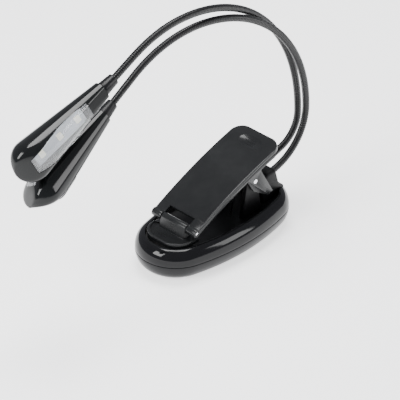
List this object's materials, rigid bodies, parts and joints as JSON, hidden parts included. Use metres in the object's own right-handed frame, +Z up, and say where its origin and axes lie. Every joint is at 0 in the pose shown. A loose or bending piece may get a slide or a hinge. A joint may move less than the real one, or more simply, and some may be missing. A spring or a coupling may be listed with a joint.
{
  "type": "reading lamp",
  "caption": "Clip-on battery reading lamp: a spring-clip base with bendable goosenecks, each ending in a slim teardrop light head with a push button.",
  "frame": {"origin": "middle of the base, on the plane under its rubber feet", "axes": "+X from the jaw towards the goosenecks along the base, +Y to the lamp's left seen from behind the necks, +Z up"},
  "size_m": [0.2317, 0.056, 0.1617],
  "materials": {
    "casing_gloss": "gloss",
    "casing_satin": "satin",
    "casing_matte": "matte",
    "lever_plastic": "satin",
    "soft_rubber": "matte",
    "pin_steel": "satin",
    "spring_steel": "satin",
    "contact_nickel": "satin",
    "cell_sleeve": "satin",
    "board": "satin",
    "board_white": "satin",
    "reflector_white": "gloss",
    "lens_clear": "gloss",
    "led_emitter": "satin",
    "neck_metal": "satin",
    "wire_copper": "satin",
    "inlet_plastic": "satin"
  },
  "bodies": {
    "base": {"base_lower_shell": "casing_gloss", "base_upper_shell": "casing_gloss", "battery_door": "casing_matte", "rubber_feet": "soft_rubber", "base_screws": "pin_steel", "battery_cells": "cell_sleeve", "battery_springs": "spring_steel", "battery_contact_plates": "contact_nickel", "base_circuit_board": "board", "power_inlet": "inlet_plastic", "clip_pivot_pin": "pin_steel", "clip_spring": "spring_steel", "base_grip_pad": "soft_rubber"},
    "lever": {"clip_lever": "lever_plastic", "clip_spring_upper_leg": "spring_steel", "jaw_pin": "pin_steel"},
    "jaw": {"clip_jaw": "casing_satin", "jaw_grip_pad": "soft_rubber"},
    "arm_a_root": {"neck_a_ferrule": "pin_steel"},
    "arm_a_lower": {"neck_a_lower": "neck_metal", "neck_a_lower_wires": "wire_copper"},
    "arm_a_upper": {"neck_a_upper": "neck_metal", "neck_a_upper_wires": "wire_copper"},
    "collar_a": {"neck_a_collar": "casing_satin"},
    "head_a": {"head_a_front_shell": "casing_gloss", "head_a_back_shell": "casing_gloss", "head_a_lens": "lens_clear", "head_a_led_board": "board_white", "head_a_leds": "led_emitter", "head_a_reflector": "reflector_white", "head_a_switch": "inlet_plastic"},
    "button_a": {"head_a_button": "casing_satin"},
    "arm_b_root": {"neck_b_ferrule": "pin_steel"},
    "arm_b_lower": {"neck_b_lower": "neck_metal", "neck_b_lower_wires": "wire_copper"},
    "arm_b_upper": {"neck_b_upper": "neck_metal", "neck_b_upper_wires": "wire_copper"},
    "collar_b": {"neck_b_collar": "casing_satin"},
    "head_b": {"head_b_front_shell": "casing_gloss", "head_b_back_shell": "casing_gloss", "head_b_lens": "lens_clear", "head_b_led_board": "board_white", "head_b_leds": "led_emitter", "head_b_reflector": "reflector_white", "head_b_switch": "inlet_plastic"},
    "button_b": {"head_b_button": "casing_satin"}
  },
  "joints": [
    {"name": "clip_open", "type": "hinge", "parent": "base", "child": "lever", "pos_m": [0.0192, 0, 0.0392], "axis": [0, 1, 0], "range_deg": [0, 26], "stiffness_Nm_per_rad": 1, "springref_deg": -22.92},
    {"name": "jaw_level", "type": "hinge", "parent": "lever", "child": "jaw", "pos_m": [-0.0305, 0, 0.0268], "axis": [0, 1, 0], "range_deg": [-27, 0]},
    {"name": "arm_a_swing", "type": "hinge", "parent": "base", "child": "arm_a_root", "pos_m": [0.044, 0.0046, 0.029], "axis": [0.9613, 0, 0.2756], "range_deg": [-40, 0]},
    {"name": "arm_a_lean", "type": "hinge", "parent": "arm_a_root", "child": "arm_a_lower", "pos_m": [0.04611, 0.0046, 0.02961], "axis": [0, 1, 0], "range_deg": [0, 25]},
    {"name": "arm_a_bend", "type": "hinge", "parent": "arm_a_lower", "child": "arm_a_upper", "pos_m": [0.07677, 0.0046, 0.05339], "axis": [-0.0384, 0.9993, 0], "range_deg": [0, 35]},
    {"name": "head_a_nod", "type": "hinge", "parent": "arm_a_upper", "child": "collar_a", "pos_m": [-0.07792, -0.00134, 0.14537], "axis": [0.0087, 1, 0], "range_deg": [0, 40]},
    {"name": "head_a_twist", "type": "hinge", "parent": "collar_a", "child": "head_a", "pos_m": [-0.08784, -0.00126, 0.14136], "axis": [-0.9271, 0.0081, -0.3746], "range_deg": [-90, 90]},
    {"name": "head_a_button_press", "type": "slide", "parent": "head_a", "child": "button_a", "axis": [-0.1116, -0.9603, 0.2556], "range_m": [0, 0.0008], "stiffness_N_per_m": 600, "springref_m": -0.0012},
    {"name": "arm_b_swing", "type": "hinge", "parent": "base", "child": "arm_b_root", "pos_m": [0.044, -0.0046, 0.029], "axis": [0.9613, 0, 0.2756], "range_deg": [0, 40]},
    {"name": "arm_b_lean", "type": "hinge", "parent": "arm_b_root", "child": "arm_b_lower", "pos_m": [0.04611, -0.0046, 0.02961], "axis": [0, 1, 0], "range_deg": [-8, 0]},
    {"name": "arm_b_bend", "type": "hinge", "parent": "arm_b_lower", "child": "arm_b_upper", "pos_m": [0.07379, -0.0046, 0.06203], "axis": [0.0872, 0.9962, 0], "range_deg": [-10, 0]},
    {"name": "head_b_nod", "type": "hinge", "parent": "arm_b_upper", "child": "collar_b", "pos_m": [-0.07069, 0.00804, 0.12231], "axis": [-0.134, 0.991, 0], "range_deg": [-25, 0]},
    {"name": "head_b_twist", "type": "hinge", "parent": "collar_b", "child": "head_b", "pos_m": [-0.08046, 0.00672, 0.11816], "axis": [-0.9136, -0.1235, -0.3875], "range_deg": [-90, 90]},
    {"name": "head_b_button_press", "type": "slide", "parent": "head_b", "child": "button_b", "axis": [-0.3933, 0.5111, 0.7643], "range_m": [0, 0.0008], "stiffness_N_per_m": 600, "springref_m": -0.0012}
  ],
  "couplings": [
    {"joint": "jaw_level", "follows": "clip_open", "ratio": -1}
  ]
}
